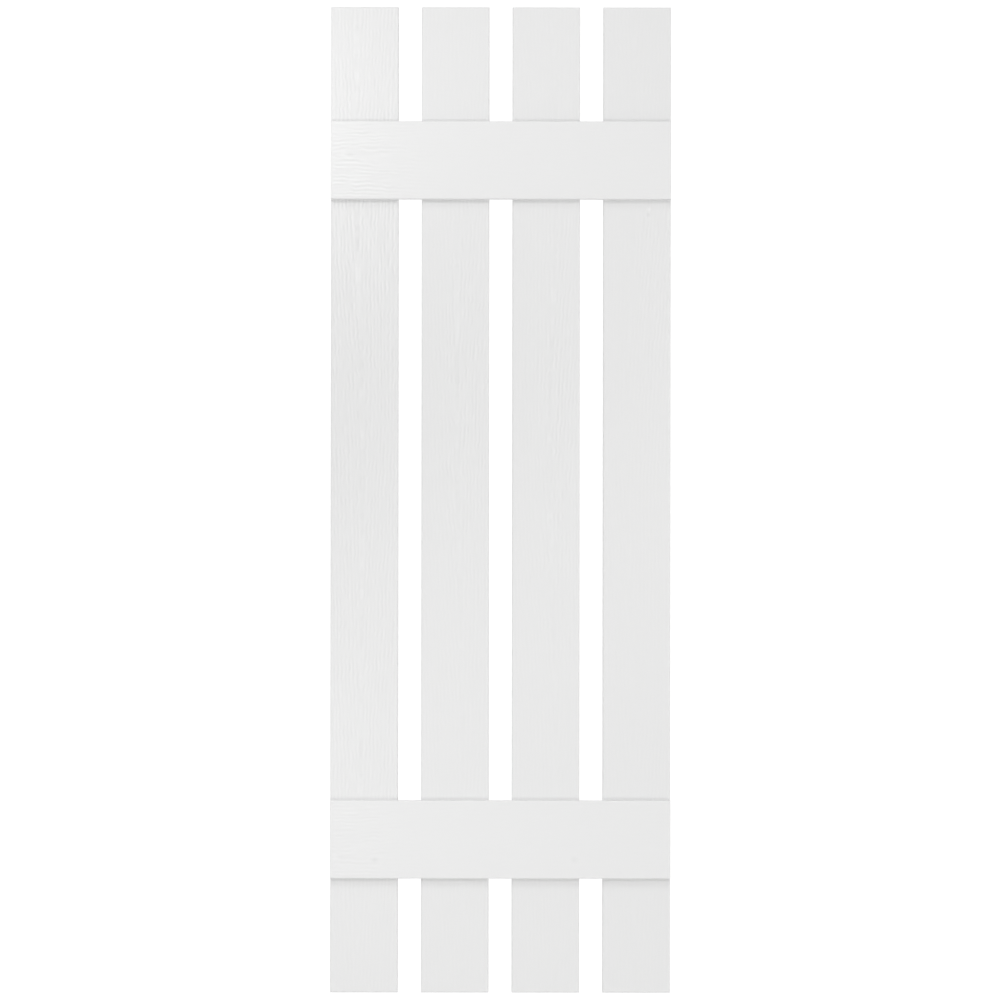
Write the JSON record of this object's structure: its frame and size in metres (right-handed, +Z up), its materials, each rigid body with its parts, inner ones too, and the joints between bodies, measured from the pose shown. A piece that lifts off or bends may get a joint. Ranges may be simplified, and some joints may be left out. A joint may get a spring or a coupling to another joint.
{
  "type": "board and batten shutter",
  "caption": "Fixed exterior window shutter: spaced vertical boards joined by cross battens, moulded white wood-grained plastic, open ribbed back against the wall.",
  "frame": {"origin": "lower left corner of the back, on the rim of the left board, in the plane of the wall", "axes": "+X to the right seen from the front, +Z up along the boards, +Y into the wall, so the front looks towards -Y"},
  "size_m": [0.377, 0.0255, 1.092],
  "materials": {
    "white_plastic": "satin wood-grained moulding",
    "screw_steel": "zinc plated"
  },
  "bodies": {
    "root": {"left_board": "white_plastic", "left_centre_board": "white_plastic", "right_centre_board": "white_plastic", "right_board": "white_plastic", "lower_batten": "white_plastic", "upper_batten": "white_plastic", "lower_batten_left_board_top_screw": "screw_steel", "lower_batten_left_board_bottom_screw": "screw_steel", "lower_batten_left_centre_board_top_screw": "screw_steel", "lower_batten_left_centre_board_bottom_screw": "screw_steel", "lower_batten_right_centre_board_top_screw": "screw_steel", "lower_batten_right_centre_board_bottom_screw": "screw_steel", "lower_batten_right_board_top_screw": "screw_steel", "lower_batten_right_board_bottom_screw": "screw_steel", "upper_batten_left_board_top_screw": "screw_steel", "upper_batten_left_board_bottom_screw": "screw_steel", "upper_batten_left_centre_board_top_screw": "screw_steel", "upper_batten_left_centre_board_bottom_screw": "screw_steel", "upper_batten_right_centre_board_top_screw": "screw_steel", "upper_batten_right_centre_board_bottom_screw": "screw_steel", "upper_batten_right_board_top_screw": "screw_steel", "upper_batten_right_board_bottom_screw": "screw_steel"}
  },
  "joints": []
}
